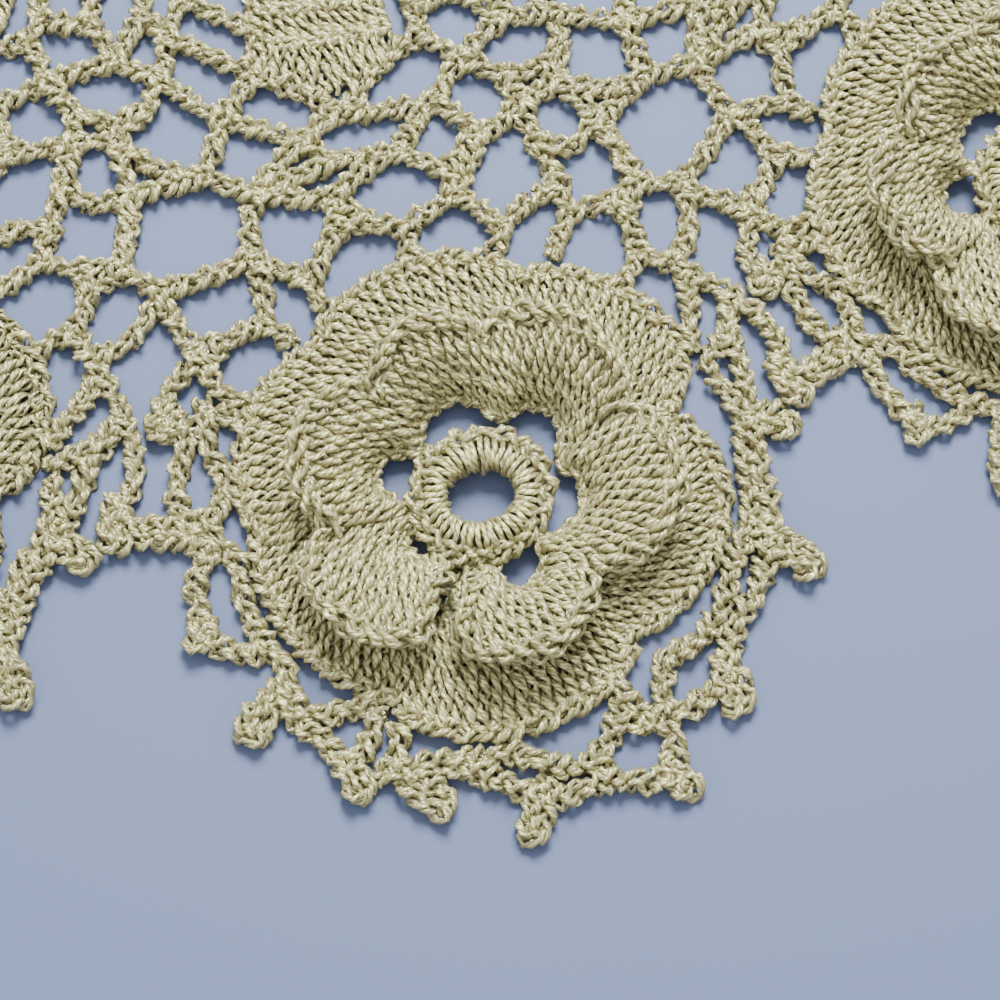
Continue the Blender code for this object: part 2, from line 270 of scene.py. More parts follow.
# Stitches: threads, thickness of a ply as a share of the thread's, half width, lift, length of
# one turn, waves of the lift in a turn (2 plaits the threads, 1 twists them), plies in a thread,
# how far they lie from its middle, length of their turn, and how far apart points lie on a ply.
# What lies away from the front is worked with fewer of them.
NEAR_STITCHES = {
    "chain": (3, 0.84, 0.50, 0.33, 3.9, 2, 2, 0.21, 1.8, 0.28),
    "rim": (3, 0.84, 0.50, 0.34, 3.8, 2, 2, 0.21, 1.8, 0.28),
    "lip": (3, 1.05, 0.42, 0.42, 4.2, 1, 2, 0.22, 2.6, 0.30),
    "post": (1, 1.00, 0.0, 0.0, 2.7, 1, 3, 0.29, 2.7, 0.40),
    "wrap": (1, 1.50, 0.84, 0.95, 0.46, 1, 1, 0.0, 1.0, 0.045),
    "core": (1, 2.45, 0.10, 0.05, 3.0, 1, 1, 0.0, 1.0, 1.00),
    "backing": (1, 1.80, 0.10, 0.05, 3.0, 1, 1, 0.0, 1.0, 1.20),
}
FAR_STITCHES = {
    "chain": (3, 1.25, 0.72, 0.36, 4.6, 2, 1, 0.0, 1.0, 1.00),
    "rim": (3, 1.25, 0.66, 0.36, 4.4, 2, 1, 0.0, 1.0, 1.00),
    "lip": (3, 1.25, 0.60, 0.45, 4.6, 2, 1, 0.0, 1.0, 1.00),
    "post": (1, 1.25, 0.0, 0.0, 5.0, 1, 2, 0.24, 5.0, 1.35),
    "wrap": (1, 1.25, 0.80, 0.90, 0.60, 1, 1, 0.0, 1.0, 0.085),
    "core": (1, 2.00, 0.10, 0.05, 3.0, 1, 1, 0.0, 1.0, 2.50),
    "backing": (0, 1.80, 0.10, 0.05, 3.0, 1, 1, 0.0, 1.0, 2.00),
}
STITCH_COLUMNS = ("strands", "thick", "half_width", "lift", "turn", "waves", "plies", "ply_reach",
                  "ply_turn", "step")
LENGTH_COLUMNS = ("half_width", "lift", "turn", "ply_reach", "ply_turn", "step")
COUNT_COLUMNS = ("strands", "waves", "plies")

# The front view, where stitches are worked in full: its middle, its turn, and its reach
# sideways, towards the edging and towards the doily's middle.
FRONT_MIDDLE = (0.86, -92.24)
FRONT_TURN = -13.96
FRONT_REACH = (37.5, -36.5, 40.0)
FRONT_ROSES = (11, 0)

# Sides of the doily that are worked as one piece each, and the repeats in them.
SIDES = (("front", (11, 0, 1)), ("left", (2, 3, 4, 5)), ("back", (6, 7)), ("right", (8, 9, 10)))

# Seeds of the random draws in each kind of piece. An outer rose has its repeat's number.
ROUNDS_SEED = 1
GROUND_SEED = 10
EDGING_SEED = 20
CENTRE_ROSE_SEED = 100

# How a thread strays: noise on its twist, place and thickness, by the noise's scale and how much
# of it is used. A ply on the crown of a cord is thicker by the last share.
TWIST_NOISE = (260.0, 18.0)
PLACE_NOISE = (420.0, 4.0)
THICKNESS_NOISE = (700.0, 4.0)
CROWN_THICKNESS = 0.24
# Neighbouring threads' plies start this share of a turn apart, and follow the strands a little.
PLY_STAGGER = 0.37
PLY_FOLLOWS = 0.25
CURVE_RESOLUTION = 8

# Cotton: scale of the fibres, of the grain and of the slow change in tone, how much crown,
# fibre, grain and ply lighten the colour, and where it starts. The crown and ply shares are a
# painted highlight on the tops of strands and plies.
FIBRE_SCALE = 2.2
GRAIN_SCALE = 1500.0
AGE_SCALE = 55.0
LIGHT_SHARES = (0.85, 0.55, 0.75, 0.32)
LIGHT_START = -1.14
THREAD_SHARE = 0.45
THREAD_IOR = 1.85
GLINT_COLOUR = (1.0, 0.93, 0.62, 1.0)

# The stage, in metres. A lamp has its name, place and size.
FLOOR_HALF = 3.0
FLOOR_ROUGHNESS = 0.6
LAMPS = (("key", (0.10, 0.21, 0.40), 0.22), ("fill", (-0.45, -0.25, 0.5), 0.6))
LAMP_AIM = (0.0, -0.09, 0.0)
LIGHT_COLOUR = (0.90, 0.95, 1.0)
SKY_COLOUR = (0.97, 0.97, 1.0, 1.0)
SKY_STRENGTH = 1.32
SENSOR_WIDTH = 36.0


def polar(radius, angle):
    """A point at this radius and at this angle in degrees, clockwise from the -Y axis."""
    turn = radians(angle)
    return -radius * sin(turn), -radius * cos(turn)


def hand_worked(x, y):
    """Shift a point as uneven hand work does."""
    u, v = x / HAND_WAVE, y / HAND_WAVE
    across = HAND_PULL * (sin(u + 0.8 * v) - 0.5 * sin(1.7 * v))
    along = HAND_PULL * (sin(1.2 * u - 0.7 * v) + 0.4 * sin(2.1 * u))
    return x + across, y + along


def in_front(x, y):
    """Whether a place lies in the front view."""
    turn = radians(FRONT_TURN)
    x, y = x - FRONT_MIDDLE[0], y - FRONT_MIDDLE[1]
    sideways, inwards = x * cos(turn) + y * sin(turn), y * cos(turn) - x * sin(turn)
    return abs(sideways) < FRONT_REACH[0] and FRONT_REACH[1] < inwards < FRONT_REACH[2]


def around_rose(repeat, radius, angle):
    """A point round the outer rose of a repeat, or round the middle rose for None."""
    if repeat is None:
        return polar(radius, angle)
    x, y = polar(radius, angle)
    turn = radians(-360 * repeat / REPEATS)
    y -= ROSE_RING_RADIUS
    return x * cos(turn) - y * sin(turn), x * sin(turn) + y * cos(turn)


def charted(name):
    """A junction's own name and what its mark adds to the repeat."""
    return name.rstrip("+-"), name.endswith("+") - name.endswith("-")


def junction(name, repeat):
    """The place of a charted junction."""
    name, mark = charted(name)
    if name in GROUND:
        radius, angle = GROUND[name]
        return polar(radius, angle + 360 * (repeat + mark) / REPEATS)
    return around_rose(repeat + mark, *ROSE_SIDE[name])


class Threads:
    """Centre lines of stitches, gathered into one wire mesh for the thread tree to work."""

    def __init__(self, seed):
        self.random = Random(seed)
        self.points, self.edges, self.ups = [], [], []
        self.columns = {name: [] for name in (*STITCH_COLUMNS, "size", "phase")}

    def add(self, stitch, points, up=UP, size=1.0):
        """Add one line of (x, y, height) points in millimetres. up is one direction for the
        whole line, or one for each point, and so is size."""
        phase = self.random.uniform(0, 2 * pi)
        ups = [up] * len(points) if isinstance(up[0], float) else up
        sizes = size if isinstance(size, list) else [size] * len(points)
        near = any(in_front(x, y) for x, y, _ in points)
        stitches = NEAR_STITCHES if near else FAR_STITCHES
        first = len(self.points)
        for (x, y, height), direction in zip(points, ups):
            x, y = hand_worked(x, y)
            self.points.append((x * MM, y * MM, height * MM))
            self.ups.append(direction)
            for name, value in zip(STITCH_COLUMNS, stitches[stitch]):
                value = value * MM if name in LENGTH_COLUMNS else value
                self.columns[name].append(value)
            self.columns["phase"].append(phase)
        self.columns["size"] += sizes
        self.edges += [(i, i + 1) for i in range(first, len(self.points) - 1)]

    def cord(self, places, height=NET_HEIGHT, size=None, stitch="chain", bow=CORD_BOW):
        """Add a cord through flat places, with a slight bow where it runs straight."""
        size = self.random.uniform(*CORD_SIZES) if size is None else size
        height += self.random.uniform(-HEIGHT_VARIES, HEIGHT_VARIES)
        if len(places) == 2:
            (x0, y0), (x1, y1) = places
            lean = self.random.uniform(-bow, bow)
            length = hypot(x1 - x0, y1 - y0)
            middle = ((x0 + x1) / 2 + lean * (y1 - y0) / length,
                      (y0 + y1) / 2 - lean * (x1 - x0) / length)
            places = (places[0], middle, places[1])
        self.add(stitch, [(x, y, height) for x, y in places], size=size)
        if stitch == "chain":
            self.add("core", [(x, y, height - CORE_DROP) for x, y in places])

    def mesh(self, name):
        """The lines as one mesh of edges, with their columns of numbers."""
        mesh = bpy.data.meshes.new(name)
        mesh.from_pydata(self.points, self.edges, [])
        up = mesh.attributes.new("up", "FLOAT_VECTOR", "POINT")
        up.data.foreach_set("vector", [value for vector in self.ups for value in vector])
        for column, values in self.columns.items():
            kind = "INT" if column in COUNT_COLUMNS else "FLOAT"
            attribute = mesh.attributes.new(column, kind, "POINT")
            attribute.data.foreach_set("value", values)
        return mesh


class TreeMaker:
    """Adds nodes to a tree. A socket is given by its name or number, a value or a link."""

    def __init__(self, tree):
        self.tree = tree

    def node(self, kind, sockets=(), **settings):
        node = self.tree.nodes.new(kind)
        for name, value in settings.items():
            setattr(node, name, value)
        for key, value in dict(sockets).items():
            if isinstance(value, bpy.types.NodeSocket):
                self.tree.links.new(value, node.inputs[key])
            else:
                node.inputs[key].default_value = value
        return node

    def math(self, operation, *values):
        return self.node("ShaderNodeMath", enumerate(values), operation=operation).outputs[0]

    def vector(self, operation, *values):
        return self.node("ShaderNodeVectorMath", enumerate(values),
                         operation=operation).outputs[0]

    def scaled(self, vector, factor):
        return self.node("ShaderNodeVectorMath", {0: vector, "Scale": factor},
                         operation="SCALE").outputs[0]

    def geometry(self, kind, sockets=(), output=0, **settings):
        return self.node("GeometryNode" + kind, sockets, **settings).outputs[output]

    def named(self, name, kind="FLOAT"):
        return self.geometry("InputNamedAttribute", {"Name": name}, "Attribute", data_type=kind)

    def store(self, geometry, name, value, kind="FLOAT"):
        return self.geometry("StoreNamedAttribute",
                             {"Geometry": geometry, "Name": name, "Value": value},
                             data_type=kind, domain="POINT")


def thread_tree():
    """The tree that turns each centre line into strands, plaited or twisted round it."""
    tree = bpy.data.node_groups.get("Worked Thread")
    if tree:
        return tree
    tree = bpy.data.node_groups.new("Worked Thread", "GeometryNodeTree")
    face = tree.interface
    face.new_socket("Geometry", in_out="OUTPUT", socket_type="NodeSocketGeometry")
    face.new_socket("Lines", in_out="INPUT", socket_type="NodeSocketGeometry")
    for name, kind in (("Thread Diameter", "Float"), ("Sides", "Int"), ("Wobble", "Float"),
                       ("Unevenness", "Float"), ("Seed", "Float"), ("Thread", "Material")):
        face.new_socket(name, in_out="INPUT", socket_type="NodeSocket" + kind)
    make = TreeMaker(tree)
    given = make.node("NodeGroupInput").outputs

    lines = make.geometry("MeshToCurve", {"Mesh": given["Lines"]})
    lines = make.geometry("CurveSplineType", {"Curve": lines}, spline_type="CATMULL_ROM")
    lines = make.geometry("SetSplineResolution",
                          {"Geometry": lines, "Resolution": CURVE_RESOLUTION})
    length = make.geometry("SplineLength", output="Length")
    count = make.math("ADD", make.math("DIVIDE", length, make.named("step")), 2.0)
    lines = make.geometry("ResampleCurve", {"Curve": lines, "Count": count}, mode="COUNT")
    strands, plies = make.named("strands", "INT"), make.named("plies", "INT")
    doubled = make.node("GeometryNodeDuplicateElements",
                        {"Geometry": lines, "Amount": make.math("MULTIPLY", strands, plies)},
                        domain="SPLINE")
    number = doubled.outputs["Duplicate Index"]

    along = make.geometry("SplineParameter", output="Length")
    turns = make.math("ADD", make.math("DIVIDE", number, strands),
                      make.math("DIVIDE", along, make.named("turn")))
    phase = make.math("ADD", make.math("MULTIPLY", turns, 2 * pi), make.named("phase"))
    place = make.geometry("InputPosition")

    def stray(noise, amount, w, detail=0.0, output=0):
        """Noise, and how much of it is used: a named pair and an input of the tree."""
        scale, share = noise
        found = make.node("ShaderNodeTexNoise", {"Vector": place, "W": w, "Scale": scale,
                                                 "Detail": detail}, noise_dimensions="4D")
        return found.outputs[output], make.math("MULTIPLY", given[amount], share)

    pull, share = stray(TWIST_NOISE, "Unevenness", given["Seed"])
    phase = make.math("ADD", phase,
                      make.math("MULTIPLY", make.math("SUBTRACT", pull, 0.5), share))
    waves = make.named("waves", "INT")
    quarter = make.math("MULTIPLY", make.math("SUBTRACT", 2.0, waves), pi / 2)
    lift_phase = make.math("ADD", make.math("MULTIPLY", phase, waves), quarter)
    ply = make.math("FLOOR", make.math("DIVIDE", make.math("ADD", number, 0.5), strands))
    ply_turns = make.math("ADD", make.math("DIVIDE", ply, plies),
                          make.math("DIVIDE", along, make.named("ply_turn")))
    thread = make.math("MODULO", number, strands)
    ply_turns = make.math("MULTIPLY_ADD", thread, PLY_STAGGER, ply_turns)
    ply_phase = make.math("ADD", make.math("MULTIPLY", ply_turns, 2 * pi),
                          make.math("MULTIPLY", phase, PLY_FOLLOWS))

    own = make.math("ADD", phase, given["Seed"])
    shift, share = stray(PLACE_NOISE, "Wobble", own, detail=2.0, output="Color")
    shift = make.scaled(make.vector("SUBTRACT", shift, (0.5, 0.5, 0.5)), share)
    swell, share = stray(THICKNESS_NOISE, "Unevenness", own)
    swell = make.math("MULTIPLY_ADD", make.math("SUBTRACT", swell, 0.5), share, 1.0)
    swell = make.math("MULTIPLY", swell, make.named("size"))

    tangent = make.geometry("InputTangent")
    side = make.vector("NORMALIZE",
                       make.vector("CROSS_PRODUCT", tangent, make.named("up", "FLOAT_VECTOR")))
    over = make.vector("CROSS_PRODUCT", side, tangent)
    reach = make.math("MULTIPLY", make.math("SINE", phase), make.named("half_width"))
    rise = make.math("MULTIPLY", make.math("SINE", lift_phase), make.named("lift"))
    ply_reach = make.named("ply_reach")
    reach = make.math("ADD", reach, make.math("MULTIPLY", make.math("COSINE", ply_phase),
                                              ply_reach))
    rise = make.math("ADD", rise, make.math("MULTIPLY", make.math("SINE", ply_phase),
                                            ply_reach))
    offset = make.vector("ADD", make.scaled(side, make.math("MULTIPLY", reach, swell)),
                         make.scaled(over, make.math("MULTIPLY", rise, swell)))
    highest = make.math("ADD", make.named("lift"), ply_reach)
    crown = make.math("MULTIPLY_ADD", make.math("DIVIDE", rise, highest), 0.5, 0.5)
    thick = make.math("MULTIPLY", make.named("thick"),
                      make.math("MULTIPLY_ADD", crown, CROWN_THICKNESS,
                                1.0 - CROWN_THICKNESS / 2))
    # The crown share also goes to the material, where it paints a highlight on the top of each
    # strand.
    strand = make.store(doubled.outputs["Geometry"], "crown", crown)
    strand = make.geometry("SetCurveRadius", {"Curve": strand, "Radius": thick})
    strand = make.geometry("SetPosition", {"Geometry": strand,
                                           "Offset": make.vector("ADD", offset, shift)})

    strand = make.store(strand, "along", make.geometry("SplineParameter", output="Length"))
    chance = make.node("FunctionNodeRandomValue", {"ID": make.geometry("InputIndex")},
                       data_type="FLOAT").outputs["Value"]
    tone = make.geometry("FieldOnDomain", {0: chance}, data_type="FLOAT", domain="CURVE")
    strand = make.store(strand, "tone", tone)
    radius = make.math("MULTIPLY", given["Thread Diameter"], 0.5)
    profile = make.geometry("CurvePrimitiveCircle",
                            {"Resolution": given["Sides"], "Radius": radius}, mode="RADIUS")
    profile = make.store(profile, "around", make.vector("NORMALIZE", place), "FLOAT_VECTOR")
    tubes = make.geometry("CurveToMesh", {"Curve": strand, "Profile Curve": profile,
                                          "Fill Caps": True})
    tubes = make.geometry("SetShadeSmooth", {"Geometry": tubes})
    tubes = make.geometry("RealizeInstances", {"Geometry": tubes})
    tubes = make.geometry("SetMaterial", {"Geometry": tubes, "Material": given["Thread"]})
    make.node("NodeGroupOutput", {"Geometry": tubes})
    return tree


def thread_material(slot, settings):
    """Mercerised cotton: plies wound round the thread, painted highlight on the crowns, grooves left
    darker.
    """
    name = "worked_" + slot
    material = bpy.data.materials.get(name)
    if material:
        return material
    material = bpy.data.materials.new(name)
    material.use_nodes = True
    tree = material.node_tree
    make = TreeMaker(tree)
    shader = tree.nodes["Principled BSDF"]

    def attribute(name):
        return make.node("ShaderNodeAttribute", attribute_name=name).outputs

    along, crown = attribute("along")["Fac"], attribute("crown")["Fac"]
    place = make.node("ShaderNodeTexCoord").outputs["Object"]
    axes = make.node("ShaderNodeSeparateXYZ", {0: attribute("around")["Vector"]}).outputs
    wound = make.math("ADD", make.math("ARCTAN2", axes["Y"], axes["X"]),
                      make.math("MULTIPLY", along, 2 * pi / settings.ply_turn))
    ply = make.math("ABSOLUTE", make.math("COSINE", make.math("MULTIPLY", wound,
                                                              settings.plies / 2)))
    fibres = make.node("ShaderNodeCombineXYZ", {
        0: make.math("COSINE", wound), 1: make.math("SINE", wound),
        2: make.math("DIVIDE", along, settings.fibre_length)}).outputs[0]
    fibre = make.node("ShaderNodeTexNoise", {"Vector": fibres, "Scale": FIBRE_SCALE,
                                             "Detail": 3.0, "Roughness": 0.6}).outputs[0]
    height = make.math("MULTIPLY_ADD", fibre, 0.6, make.math("POWER", ply, 0.55))
    bump = make.node("ShaderNodeBump", {"Strength": 1.0, "Distance": settings.ply_depth,
                                        "Height": height}).outputs["Normal"]
    tree.links.new(bump, shader.inputs["Normal"])

    grain = make.node("ShaderNodeTexNoise", {"Vector": place, "Scale": GRAIN_SCALE,
                                             "Detail": 1.0}).outputs[0]
    # Painted highlight: the crown share lightens a strand's top and the ply share the crowns of its
    # plies, towards the highlight colour at the ramp's end. Fibre and grain add streaks and speckle
    # in the thread's tone.
    light = LIGHT_START
    for part, share in zip((crown, fibre, grain, make.math("POWER", ply, 0.7)), LIGHT_SHARES):
        light = make.math("MULTIPLY_ADD", part, share, light)
    ramp = make.node("ShaderNodeValToRGB", {"Fac": light})
    stops = ramp.color_ramp.elements
    stops.new(THREAD_SHARE)
    for stop, colour in zip(stops, (settings.groove_colour, settings.colour,
                                    settings.painted_highlight_colour)):
        stop.color = (*colour, 1.0)
    age = make.node("ShaderNodeTexNoise", {"Vector": place, "Scale": AGE_SCALE,
                                           "Detail": 3.0}).outputs[0]
    shade = make.math("MULTIPLY_ADD", attribute("tone")["Fac"], 0.2,
                      make.math("MULTIPLY_ADD", age, 0.4, 0.7))
    tree.links.new(make.scaled(ramp.outputs["Color"], shade), shader.inputs["Base Color"])
    rough = make.math("MULTIPLY_ADD", fibre, 0.3, settings.roughness - 0.15)
    tree.links.new(rough, shader.inputs["Roughness"])
    for name, value in (("Specular IOR Level", settings.gloss), ("Specular Tint", GLINT_COLOUR),
                        ("IOR", THREAD_IOR), ("Sheen Weight", settings.sheen)):
        shader.inputs[name].default_value = value
    return material


def work_piece(name, threads, settings, sides, replaced, slot):
    """Work the gathered lines into one plain mesh that rides on the doily."""
    holder = bpy.data.objects.new(name + "_lines", threads.mesh(name + "_lines"))
    bpy.context.collection.objects.link(holder)
    modifier = holder.modifiers.new("Worked Thread", "NODES")
    modifier.node_group = thread_tree()
    values = {"Thread Diameter": settings.diameter, "Sides": sides,
              "Wobble": settings.wobble, "Unevenness": settings.unevenness,
              "Seed": float(settings.seed), "Thread": thread_material(slot, settings)}
    for item in modifier.node_group.interface.items_tree:
        if item.in_out == "INPUT" and item.name in values:
            modifier[item.identifier] = values[item.name]
    bpy.context.view_layer.update()
    depsgraph = bpy.context.evaluated_depsgraph_get()
    mesh = bpy.data.meshes.new_from_object(holder.evaluated_get(depsgraph),
                                           preserve_all_data_layers=True, depsgraph=depsgraph)
    if not mesh.polygons:
        raise RuntimeError(f"{name}: the tree made no faces")
    mesh.name = name
    bpy.data.meshes.remove(holder.data)
    for attribute in [a.name for a in mesh.attributes
                      if a.name in STITCH_COLUMNS or a.name in ("up", "size", "phase")]:
        mesh.attributes.remove(mesh.attributes[attribute])
    mesh.materials.clear()
    mesh.materials.append(thread_material(slot, settings))
    piece = bpy.data.objects.new(name, mesh)
    bpy.context.collection.objects.link(piece)
    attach(piece, "root")
    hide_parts(*replaced)


def ground_edges():
    """The cords between charted junctions, each once, as (name, name) with their marks."""
    found = {}
    for names in WINDOWS:
        names = names.split()
        for first, second in zip(names, names[1:] + names[:1]):
            ends = charted(first), charted(second)
            lowest = min(mark for _, mark in ends)
            key = frozenset((name, mark - lowest) for name, mark in ends)
            found.setdefault(key, (first, second))
    return sorted(found.values())


def work_ground(threads, repeat):
    """The charted cords of one repeat and its shell."""
    for first, second in ground_edges():
        ends = {charted(first)[0], charted(second)[0]}
        if not any(ends <= names for names in WORKED_ELSEWHERE):
            threads.cord([junction(first, repeat), junction(second, repeat)])
    first, last = (360 * repeat / REPEATS + angle for angle in SHELL_SIDES)
    for post in range(SHELL_POSTS):
        share = post / (SHELL_POSTS - 1)
        angle = last + (first - last) * share
        edge = share * (len(SHELL_EDGE) - 1)
        index = min(int(edge), len(SHELL_EDGE) - 2)
        (x0, y0), (x1, y1) = (junction(SHELL_EDGE[index + i], repeat) for i in (0, 1))
        foot = (x0 + (x1 - x0) * (edge - index), y0 + (y1 - y0) * (edge - index))
        places = [polar(radius, angle) for radius in SHELL_ROWS] + [foot]
        for pair in zip(places, places[1:]):
            threads.cord(pair, **SHELL_POST)
    for radius in SHELL_ROWS[1:]:
        threads.cord([polar(radius, first + (last - first) * step / SHELL_ROW_STEPS)
                      for step in range(SHELL_ROW_STEPS + 1)], **SHELL_ROW)


def work_plain_rounds(threads):
    """The plain rounds: rings of cord and the posts between them."""
    rings = [PLAIN_ROUNDS[0][1]] + [outer for _, _, outer in PLAIN_ROUNDS]
    for radius in rings:
        threads.cord([polar(radius, 360 * step / PLAIN_STEPS) for step in range(PLAIN_STEPS)] +
                     [polar(radius, 0)], size=1.0)
    for number, (count, inner, outer) in enumerate(PLAIN_ROUNDS):
        for place in range(count):
            angle = (place + number % 2 / 2) * 360 / count
            threads.cord([polar(inner, angle), polar(outer, angle)], bow=PLAIN_BOW)
    for start, end, rim_radius, _ in BACK_PETALS:
        for share in JOINING_SHARES:
            angle = start + (end - start) * share
            threads.cord([polar(rim_radius - JOINING_OVERLAP, angle), polar(rings[0], angle)])


def work_edging(threads, repeat):
    """The edging round one outer rose, with its picots."""
    for cord in EDGING_CORDS:
        threads.cord([around_rose(repeat, *point) for point in cord])
    for (root, root_angle), (tip, tip_angle), spread in PICOTS:
        x0, y0 = around_rose(repeat, root, root_angle)
        x1, y1 = around_rose(repeat, tip, tip_angle)
        length = hypot(x1 - x0, y1 - y0)
        ux, uy = (x1 - x0) / length, (y1 - y0) / length
        wide = spread * PICOT_HALF_WIDTH
        loop = []
        for forward, sideways, drawn in PICOT_LOOP:
            reach = forward * length - drawn
            loop.append((x0 + ux * reach - uy * wide * sideways,
                         y0 + uy * reach + ux * wide * sideways))
        threads.cord(loop, size=1.0, height=NET_HEIGHT + PICOT_LIFT)


def petal_shape(share):
    """How full a petal is at this share of its width, from 0 at a notch to 1."""
    return max(0.0, sin(pi * share)) ** PETAL_SPREAD


class RoseThreads(Threads):
    """Centre lines of one rose, which is turned a little."""

    def __init__(self, seed, repeat):
        super().__init__(seed)
        self.repeat = repeat
        self.twist = 0.0 if repeat is None else ROSE_TWIST * sin(ROSE_TWIST_STEP * repeat)

    def outwards(self, angle, lean):
        """A direction that leans outwards from the rose's middle by this much, and up."""
        x0, y0 = around_rose(self.repeat, 0.0, 0.0)
        x1, y1 = around_rose(self.repeat, 1.0, angle + self.twist)
        return ((x1 - x0) * lean, (y1 - y0) * lean, (1 - lean * lean) ** 0.5)

    def line(self, stitch, points, **settings):
        """Add one line of (radius, angle, height) points."""
        self.add(stitch, [(*around_rose(self.repeat, radius, angle + self.twist), height)
                          for radius, angle, height in points], **settings)


def foot_radius(angle):
    """Radius where the front petals stand at this angle: further out round each opening."""
    radius = FRONT_FOOT_RADIUS
    for middle, half_width, outer in RING_OPENINGS:
        away = (angle - middle + 180) % 360 - 180
        if abs(away) < half_width:
            radius += (outer - FRONT_FOOT_RADIUS) * cos(pi / 2 * away / half_width) ** PETAL_SPREAD
    return radius


def front_petal_point(number, share, rise):
    """A point of a front petal, share of the way across it and rise of the way up it."""
    start, end, rim_radius, rim_height = FRONT_PETALS[number]
    notch, next_notch = FRONT_NOTCHES[number], FRONT_NOTCHES[(number + 1) % len(FRONT_NOTCHES)]
    depth, drop = (first + (last - first) * share
                   for first, last in zip(notch[:2], next_notch[:2]))
    full = petal_shape(share)
    rim_radius -= depth * (1 - full)
    rim_height -= drop * (1 - full)
    angle = start + (end - start) * share
    foot = foot_radius(angle)
    radius = foot + (rim_radius - foot) * rise ** FRONT_FLARE
    height = FRONT_FOOT_HEIGHT + (rim_height - FRONT_FOOT_HEIGHT) * sin(pi / 2 * rise)
    angle += degrees((notch[2] * (1 - share) - next_notch[2] * share) / radius)
    return radius, angle, height


def work_ring(rose):
    """The wrapped ring, the chain round it, and the chain and padding under the petals."""
    shift_x, shift_y = polar(*RING_SHIFT)
    for stitch, radius, height, lean, size, wider, thicker in RING_LINES:
        points, ups, sizes = [], [], []
        for step in range(RING_STEPS + 1):
            angle = 360 * step / RING_STEPS
            slack = cos(radians(angle - RING_SLACK_ANGLE)) ** 2
            x, y = polar(radius + wider * slack, angle)
            x, y = x + shift_x, y + shift_y
            points.append((hypot(x, y), degrees(atan2(-x, -y)), height))
            ups.append(rose.outwards(angle, lean))
            sizes.append(size + thicker * slack)
        rose.line(stitch, points, up=ups, size=sizes)
    feet = [(foot_radius(angle), angle) for angle in range(0, 361, ARCH_STEP)]
    rose.line("chain", [(*foot, FRONT_FOOT_HEIGHT + ARCH_LIFT) for foot in feet], size=ARCH_SIZE)
    for share in PADDING_ROUNDS:
        rose.line("core", [(foot + (BACK_FOOT_RADIUS - foot) * share, angle, PADDING_HEIGHT)
                           for foot, angle in feet], size=PADDING_SIZE)
    rose.line("chain", [(radius, FRONT_PETALS[0][0], CREVICE_HEIGHT)
                        for radius in (FRONT_FOOT_RADIUS, BACK_FOOT_RADIUS + 1)])


def work_front_petals(rose):
    """The cupped petals, each with its posts, their backing and a rolled lip."""
    for number, (start, end, rim_radius, _) in enumerate(FRONT_PETALS):
        count = round(radians(end - start) * rim_radius / FRONT_POST_PITCH)
        rises = [step / FRONT_POST_STEPS for step in range(FRONT_POST_STEPS + 1)]
        for post in range(count):
            points = [front_petal_point(number, (post + 0.5) / count, rise) for rise in rises]
            rose.line("post", points, up=rose.outwards(points[-1][1], FRONT_POST_LEAN),
                      size=FRONT_POST_SIZE)
            if post:
                points = [front_petal_point(number, post / count, rise) for rise in rises]
                rose.line("backing", [(*place, height - BACKING_DROP)
                                      for *place, height in points])
        rim = [front_petal_point(number, step / LIP_STEPS, 1.0) for step in range(LIP_STEPS + 1)]
        rises = [step / CREVICE_STEPS for step in range(1, CREVICE_STEPS)]
        if FRONT_NOTCHES[number][2]:
            rim = [front_petal_point(number, 0.0, rise) for rise in rises] + rim
        if FRONT_NOTCHES[(number + 1) % len(FRONT_NOTCHES)][2]:
            rim += [front_petal_point(number, 1.0, rise) for rise in reversed(rises)]
        rim = [(radius + LIP_OVERHANG, angle, height + LIP_OVERHANG)
               for radius, angle, height in rim]
        rose.line("lip", rim, up=[rose.outwards(angle, LIP_LEAN) for _, angle, _ in rim],
                  size=FRONT_LIP_SIZES[number])
        rose.line("core", [(*place, height - CORE_DROP) for *place, height in rim])


def work_back_petals(rose):
    """The flat petals behind, each with its posts, their backing and a rim."""
    for number, (start, end, rim_radius, depth) in enumerate(BACK_PETALS):
        last_depth = BACK_PETALS[(number + 1) % len(BACK_PETALS)][3]

        def rim_at(share):
            notch = depth + (last_depth - depth) * share
            return rim_radius - notch * (1 - petal_shape(share))

        count = round((end - start) / BACK_POST_TURN)
        for post in range(count):
            share = (post + 0.5) / count
            points = []
            for step in range(BACK_POST_STEPS + 1):
                rise = step / BACK_POST_STEPS
                radius = BACK_FOOT_RADIUS + (rim_at(share) - BACK_FOOT_RADIUS) * rise
                height = (BACK_POST_HEIGHT + BACK_POST_SWELL * sin(pi * rise)
                          + BACK_POST_STAGGER * (post % 2))
                points.append((radius, start + (end - start) * share, height))
            rose.line("post", points, size=BACK_POST_SIZE)
            angle = start + (end - start) * post / count
            rose.line("backing", [(radius, angle, BACKING_HEIGHT)
                                  for radius in (BACK_FOOT_RADIUS, rim_at(post / count))])
        shares = [step / BACK_RIM_STEPS for step in range(BACK_RIM_STEPS + 1)]
        rose.line("rim", [(rim_at(share), start + (end - start) * share, BACK_RIM_HEIGHT)
                          for share in shares])


LENGTH = {"subtype": "DISTANCE", "unit": "LENGTH"}
COLOUR = {"subtype": "COLOR", "size": 3}
SHARE = {"subtype": "FACTOR"}
TURN = {"subtype": "ANGLE", "unit": "ROTATION"}


